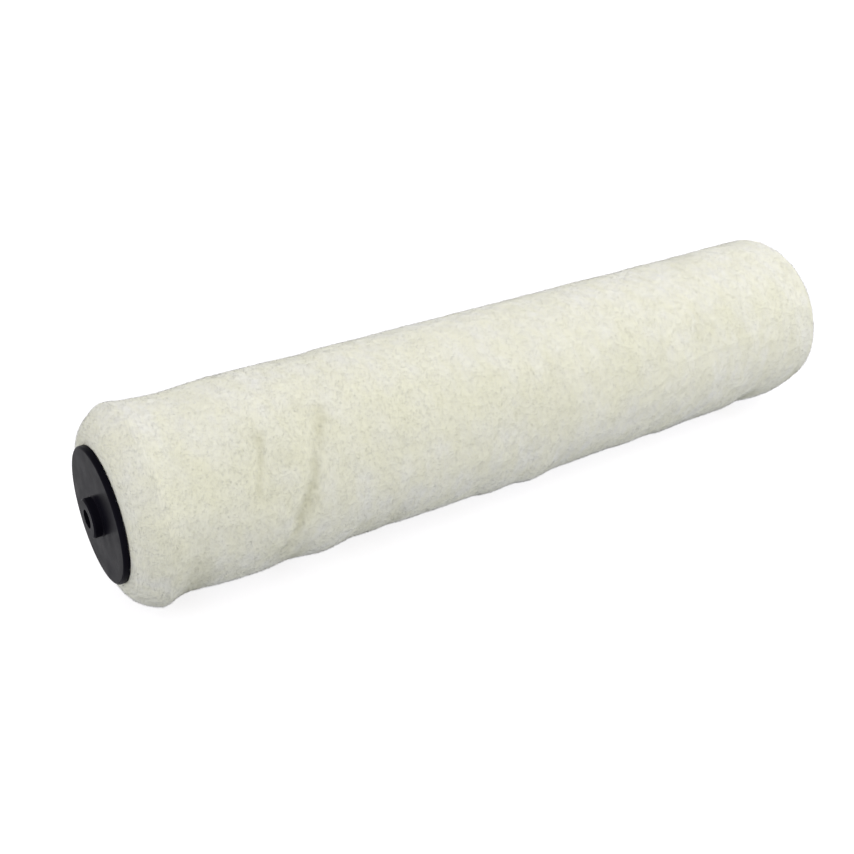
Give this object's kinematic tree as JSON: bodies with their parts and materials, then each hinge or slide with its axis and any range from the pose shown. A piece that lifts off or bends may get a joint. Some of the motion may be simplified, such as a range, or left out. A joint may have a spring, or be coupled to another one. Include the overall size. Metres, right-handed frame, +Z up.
{
  "type": "paint roller refill",
  "caption": "Deep-pile paint roller sleeve on a spiral-wound core, with a black moulded end cap at each end bored for the frame's rod.",
  "frame": {"origin": "on the roller's axis, halfway between the outer faces of the two end caps", "axes": "+X along the roller's axis, from the near end cap, where the pile is bevelled, to the far end cap; +Z up, with the crushed flat of the pile facing -Z; +Y level, across the axis"},
  "size_m": [0.3114, 0.0702, 0.0692],
  "materials": {
    "pile_fleece": "dense fleecy pile, cream",
    "backing_cloth": "plain woven, off-white",
    "core_board": "resin-bonded wound board, brown",
    "cap_plastic": "satin moulded, black"
  },
  "bodies": {
    "root": {"core_inner_ply": "core_board", "core_middle_ply": "core_board", "core_outer_ply": "core_board", "cover_backing": "backing_cloth", "pile": "pile_fleece", "near_end_cap": "cap_plastic", "far_end_cap": "cap_plastic"}
  },
  "joints": []
}
